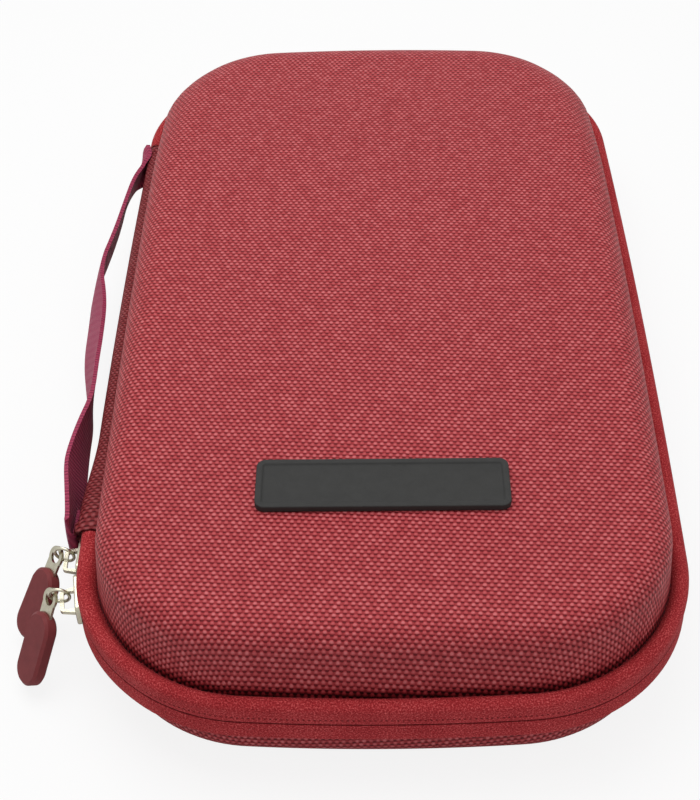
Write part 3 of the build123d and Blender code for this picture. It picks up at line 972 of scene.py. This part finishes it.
def makeStrap():
    line = strapForm["line"]
    points = drawnLine("strapLine", [(x, y, height) for y, x, lean, height in line])
    leans = [p.z for p in drawnLine("strapLean", [(x, y, lean) for y, x, lean, height in line])]
    half, thick = strapForm["width"] / 2, strapForm["thickness"] / 2
    bm = bmesh.new()
    uLayer = bm.verts.layers.float.new("clothU")
    vLayer = bm.verts.layers.float.new("clothV")
    ring, edges, run = [], [], 0.0
    count = strapForm["across"]
    hug, straight, loose = strapForm["hug"]
    section = [(half * (2 * i / count - 1), thick) for i in range(count + 1)]
    section += [(half * (1 - 2 * i / count), -thick) for i in range(count + 1)]
    for number, point in enumerate(points):
        if number:
            step = points[number] - points[number - 1]
            run += hypot(step.x, step.y)
        ahead = points[min(number + 1, len(points) - 1)] - points[max(number - 1, 0)]
        along = Vector((ahead.x, ahead.y, 0)).normalized()
        out = Vector((along.y, -along.x, 0))
        lean = radians(leans[number])
        wide = Vector((0, 0, 1)) * cos(lean) - out * sin(lean)
        face = out * cos(lean) + Vector((0, 0, 1)) * sin(lean)
        if not ring:
            ring = [bm.verts.new((0, 0, 0)) for _ in section]
            edges = [bm.edges.new(pair) for pair in zip(ring, ring[1:] + ring[:1])]
            firstRing = list(ring)
        else:
            ring, edges = nextRing(bm, ring, edges)
        # The folded end is half as wide and sits low, out of sight.
        fold = easeStep(point.x, *strapForm["fold"]) if point.y < strapForm["foldFrom"] else 0.0
        for index, (v, (w, t)) in enumerate(zip(ring, section)):
            w -= fold * (w / 2 + 3)
            crown = strapForm["crown"] * (1 - (w / half) ** 2)
            # The far end bends round the spine it is sewn to.
            crown -= hug * (1 - easeStep(run, straight, loose)) * (abs(w) / half) ** 3
            v.co = point + wide * w + face * (t + crown)
            v[uLayer] = w + half if index <= count else 3 * half - w
            v[vLayer] = run
    for loop in (firstRing, ring):
        bmesh.ops.contextual_create(bm, geom=loop)
    writeCloth(bm)
    bmesh.ops.recalc_face_normals(bm, faces=bm.faces)
    return bm


def softenEdges(piece, width):
    bevel = piece.modifiers.new("softEdges", "BEVEL")
    bevel.width = width * millimetre
    bevel.segments = 2
    bevel.limit_method = "ANGLE"


strap = toFrame(makeStrap(), "carryingStrap", angle=60)
softenEdges(strap, strapForm["softEdge"])
enterPiece(strap, "strap", "handle_strap", "hinge")
print("strap made")

# Badge: a bare plate with a raised rim round a shallow recess.
badgeForm = {
    "length": 63.0,
    "width": 16.3,
    "y": -85.0,
    "proud": 0.22,
    "corner": 2.4,
    "thick": 1.9,
    "rim": 1.5,
    "recess": 0.5,
    "recessSlope": 0.35,
    "recessRound": 0.3,
    "edgeRound": 0.32,
}


def roundedPlate(length, width, corner, steps=6):
    points = []
    for xSign, ySign, first in ((1, 1, 0), (-1, 1, pi / 2), (-1, -1, pi), (1, -1, 3 * pi / 2)):
        centre = (xSign * (length / 2 - corner), ySign * (width / 2 - corner))
        points += arcPoints(centre, corner, first, first + pi / 2, steps)
    return points


def makeBadge():
    bm = bmesh.new()
    plate = roundedPlate(badgeForm["length"], badgeForm["width"], badgeForm["corner"])
    ring = [bm.verts.new((x, y, 0)) for x, y in plate]
    face = bm.faces.new(ring)
    side = bmesh.ops.extrude_face_region(bm, geom=[face])["geom"]
    topFace = next(g for g in side if isinstance(g, bmesh.types.BMFace))
    bmesh.ops.translate(bm, vec=(0, 0, badgeForm["thick"]), verts=topFace.verts)
    bmesh.ops.inset_individual(bm, faces=[topFace], thickness=badgeForm["rim"])
    bmesh.ops.inset_individual(bm, faces=[topFace], thickness=badgeForm["recessSlope"])
    bmesh.ops.translate(bm, vec=(0, 0, -badgeForm["recess"]), verts=topFace.verts)
    bmesh.ops.inset_individual(bm, faces=[topFace], thickness=badgeForm["recessRound"])
    sharp = [e for e in bm.edges if e.calc_length() > 0 and e.calc_face_angle(0) > radians(40)]
    bmesh.ops.bevel(
        bm, geom=sharp, offset=badgeForm["edgeRound"], segments=3, profile=0.5, material=-1, affect="EDGES"
    )
    bmesh.ops.recalc_face_normals(bm, faces=bm.faces)
    level = lidForm["height"] + badgeForm["proud"]
    bmesh.ops.translate(bm, vec=(0, badgeForm["y"], level), verts=bm.verts)
    return bm


badgePlate = toFrame(makeBadge(), "badgePlate", angle=35)
enterPiece(badgePlate, "badge", "badge", "lid")
print("badge made")

# Zip coils: a row of nylon teeth inside each tape.
coilForm = {
    "middle": (2.05, 1.35),
    "half": (0.85, 1.15),
    "pitch": 1.5,
    "waist": 0.74,
    "round": 8,
    "fromSlider": 6.1,
}


def makeCoil():
    form = coilForm

    def chainAt(distance):
        swell = form["waist"] + (1 - form["waist"]) * abs(cos(pi * distance / form["pitch"]))
        turns = [2 * pi * i / form["round"] for i in range(form["round"])]
        (x, z), (wide, tall) = form["middle"], form["half"]
        return [(x + wide * swell * cos(t), z + tall * swell * sin(t)) for t in turns]

    bm = bmesh.new()
    distances = walk(frontMiddle + form["fromSlider"], zipEnd, form["pitch"] / 4)
    carryChain(bm, chainAt, distances, lambda d, index, *_: (d, index), closedChain=True, capEnds=True)
    writeCloth(bm)
    bmesh.ops.recalc_face_normals(bm, faces=bm.faces)
    return bm


for body in ("lid", "base"):
    bm = makeCoil() if body == "lid" else mirrorDown(makeCoil())
    coil = toFrame(bm, body + "ZipTeeth")
    enterPiece(coil, "coil", body + "_zip_coil", body)
print("coils made")

# Net pocket in the lid: knotted diamonds pulled tight, with an elastic mouth.
netForm = {
    "halfWidth": 66.3,
    "inset": 10.4,
    "mouth": -48.0,
    "height": 12.6,
    "cells": (50, 65),
    "thread": 0.61,
    "side": (0.0165, 93.0),
    "wave": (0.12, 9.0, 13.0),
    "flat": (0.135, 0.176),
}


def makeNet():
    edge = []
    for distance in walk(0, roundLength, 2.0):
        place, outward = station(distance)
        inner = place - outward * netForm["inset"]
        if inner.y > 0:
            edge.append((inner.x, inner.y))
    edge.sort()

    def farEdge(x):
        for (x0, y0), (x1, y1) in zip(edge, edge[1:]):
            if x0 <= x <= x1:
                return y0 + (y1 - y0) * (x - x0) / max(1e-9, x1 - x0)
        return 90.0

    bm = bmesh.new()
    columns, rows = netForm["cells"]
    (bow, bowLength), (wave, waveX, waveY) = netForm["side"], netForm["wave"]
    bmesh.ops.create_grid(bm, x_segments=columns, y_segments=rows, size=0.5)
    squares = [e for e in bm.edges if not e.is_boundary]
    bmesh.ops.poke(bm, faces=bm.faces)
    bmesh.ops.dissolve_edges(bm, edges=squares, use_verts=False)
    for v in bm.verts:
        x = v.co.x * 2 * netForm["halfWidth"]
        y = netForm["mouth"] + (v.co.y + 0.5) * (farEdge(x) - netForm["mouth"])
        x *= 1 + bow * (1 - min(1.0, (y / bowLength) ** 2))
        v.co = Vector((x, y, netForm["height"] + wave * sin(x / waveX) * sin(y / waveY)))
    thread = netForm["thread"]
    bmesh.ops.wireframe(
        bm, faces=bm.faces, thickness=thread, use_replace=True, use_boundary=True, use_even_offset=False
    )
    bmesh.ops.recalc_face_normals(bm, faces=bm.faces)
    return bm


net = toFrame(makeNet(), "pocketNet", smooth=False)
enterPiece(net, "net", "mesh_pocket", "lid")
print("net made")

# Woven elastics: the mouth of the pocket, and the band across the base.
elasticForm = {
    "pocket_elastic": {
        "body": "lid",
        "x": 67.0,
        "y": (-57.0, -48.0),
        "level": 11.9,
        "lift": 0.0,
        "thick": 1.3,
        "ripple": 0.16,
    },
    "retaining_band": {
        "body": "base",
        "x": 50.0,
        "y": (-30.5, -5.5),
        "level": -18.9,
        "lift": 0.9,
        "thick": 1.4,
        "ripple": 0.05,
    },
}
# What both share: cells, length sewn down, pitch of the gathers and rounding.
elasticMake = {"cells": (120, 10), "sewn": 10.0, "gather": 4.4, "softEdge": 0.3}


def makeElastic(form):
    half, (low, high) = form["x"], form["y"]
    free = half - elasticMake["sewn"]
    columns, rows = elasticMake["cells"]
    bm = bmesh.new()
    bmesh.ops.create_grid(bm, x_segments=columns, y_segments=rows, size=0.5)
    uLayer = bm.verts.layers.float.new("clothU")
    vLayer = bm.verts.layers.float.new("clothV")
    for v in bm.verts:
        x, y = v.co.x * 2 * half, low + (v.co.y + 0.5) * (high - low)
        slack = form["lift"] * max(0.0, 1 - (x / free) ** 2)
        gather = form["ripple"] * sin(2 * pi * x / elasticMake["gather"])
        gather *= 1 - (2 * v.co.y) ** 2
        v[uLayer], v[vLayer] = x, y - low
        v.co = Vector((x, y, form["level"] + slack + gather))
    writeCloth(bm)
    return bm


for node, form in elasticForm.items():
    elastic = toFrame(makeElastic(form), node.replace("_", "") + "Weave")
    thick = elastic.modifiers.new("thickness", "SOLIDIFY")
    thick.thickness = form["thick"] * millimetre
    thick.offset = 1.0
    softenEdges(elastic, elasticMake["softEdge"])
    enterPiece(elastic, "elastic", node, form["body"])
print("elastics made")

# Finishes of the nodes that show as they are.
nodeFinishes = {
    "lid_lining": "lining",
    "base_lining": "lining",
    "spine_lining": "lining",
    "lid_binding": "binding",
    "base_binding": "binding",
}
for side in ("front", "rear"):
    for metal in ("slider_body", "pull_ring", "pull_tongue"):
        nodeFinishes[side + "_" + metal] = "nickel"
    nodeFinishes[side + "_pull_paddle"] = "pull"
for name, finish in nodeFinishes.items():
    dress(nodes[name], finish)

# Studio: the camera in millimetres and degrees, the rest in metres and watts.
studio = {
    "lens": 69.6,
    "place": (-2.5, -347.5, 329.3),
    "pitch": 44.0,
    "yaw": -0.8,
    "roll": -1.06,
    "shift": (-6.38 / 800, 9.05 / 800),
    "paper": 0.88,
    "floorSize": 3.0,
    "floorLevel": -0.0006,
    "floorWhite": 0.86,
    "sky": 0.36,
    "lampsAim": (0, 0, 0.03),
    "keyLamp": {"place": (-0.10, 0.05, 0.62), "size": 0.5, "power": 2.7},
    "fillLamp": {"place": (0.45, -0.35, 0.9), "size": 0.8, "power": 1.5},
}


def makeCamera():
    camera = bpy.data.objects.new("camera", bpy.data.cameras.new("camera"))
    bpy.context.scene.collection.objects.link(camera)
    camera.data.sensor_fit = "VERTICAL"
    camera.data.sensor_height = 36.0
    camera.data.lens = studio["lens"]
    camera.data.shift_x, camera.data.shift_y = studio["shift"]
    camera.data.clip_start = 0.01
    pitch, yaw, roll = (radians(studio[k]) for k in ("pitch", "yaw", "roll"))
    ahead = Vector((sin(yaw) * cos(pitch), cos(yaw) * cos(pitch), -sin(pitch)))
    right = Vector((cos(yaw), -sin(yaw), 0))
    up = right.cross(ahead)
    rolledRight = right * cos(roll) + up * sin(roll)
    rolledUp = -right * sin(roll) + up * cos(roll)
    turn = Matrix((rolledRight, rolledUp, -ahead)).transposed().to_4x4()
    camera.matrix_world = Matrix.Translation(Vector(studio["place"]) * millimetre) @ turn
    bpy.context.scene.camera = camera


def paleFinish(name):
    material, tree, shader = newMaterial(name)
    shader.inputs["Base Color"].default_value = (*[studio["paper"]] * 3, 1)
    shader.inputs["Roughness"].default_value = 0.9
    # Seen directly, the paper is mostly white and keeps a light shadow.
    white = tree.nodes.new("ShaderNodeEmission")
    white.inputs["Strength"].default_value = 1.0
    path = tree.nodes.new("ShaderNodeLightPath")
    share = times(tree, path.outputs["Is Camera Ray"], studio["floorWhite"])
    mixed = tree.nodes.new("ShaderNodeMixShader")
    tree.links.new(share, mixed.inputs[0])
    tree.links.new(shader.outputs[0], mixed.inputs[1])
    tree.links.new(white.outputs[0], mixed.inputs[2])
    tree.links.new(mixed.outputs[0], tree.nodes["Material Output"].inputs["Surface"])
    return material


def makeFloor():
    bm = bmesh.new()
    bmesh.ops.create_grid(bm, x_segments=2, y_segments=2, size=studio["floorSize"])
    for v in bm.verts:
        v.co.z = studio["floorLevel"]
    mesh = bpy.data.meshes.new("floor")
    bm.to_mesh(mesh)
    bm.free()
    floor = bpy.data.objects.new("floor", mesh)
    bpy.context.scene.collection.objects.link(floor)
    floor.data.materials.append(paleFinish("floorPaper"))


def softLamp(name):
    values = studio[name]
    lamp = bpy.data.objects.new(name, bpy.data.lights.new(name, "AREA"))
    bpy.context.scene.collection.objects.link(lamp)
    lamp.data.shape = "RECTANGLE"
    lamp.data.size = lamp.data.size_y = values["size"]
    lamp.data.energy = values["power"]
    lamp.location = values["place"]
    ahead = Vector(studio["lampsAim"]) - Vector(values["place"])
    lamp.rotation_euler = ahead.to_track_quat("-Z", "Y").to_euler()


def makeSky():
    world = bpy.data.worlds.new("studioSky")
    bpy.context.scene.world = world
    world.use_nodes = True
    tree = world.node_tree
    sky = tree.nodes["Background"]
    sky.inputs["Color"].default_value = (1, 1, 1, 1)
    sky.inputs["Strength"].default_value = studio["sky"]
    seen = tree.nodes.new("ShaderNodeBackground")
    seen.inputs["Color"].default_value = (1, 1, 1, 1)
    seen.inputs["Strength"].default_value = 1.0
    path = tree.nodes.new("ShaderNodeLightPath")
    glossy = calc(tree, "MAXIMUM", path.outputs["Is Camera Ray"], path.outputs["Is Glossy Ray"])
    anyRay = calc(tree, "MAXIMUM", glossy, path.outputs["Is Transmission Ray"])
    mixed = tree.nodes.new("ShaderNodeMixShader")
    tree.links.new(anyRay, mixed.inputs[0])
    tree.links.new(sky.outputs[0], mixed.inputs[1])
    tree.links.new(seen.outputs[0], mixed.inputs[2])
    tree.links.new(mixed.outputs[0], tree.nodes["World Output"].inputs["Surface"])


makeCamera()
makeFloor()
makeSky()
softLamp("keyLamp")
softLamp("fillLamp")
bpy.context.scene.view_settings.view_transform = "Standard"
print("studio made")
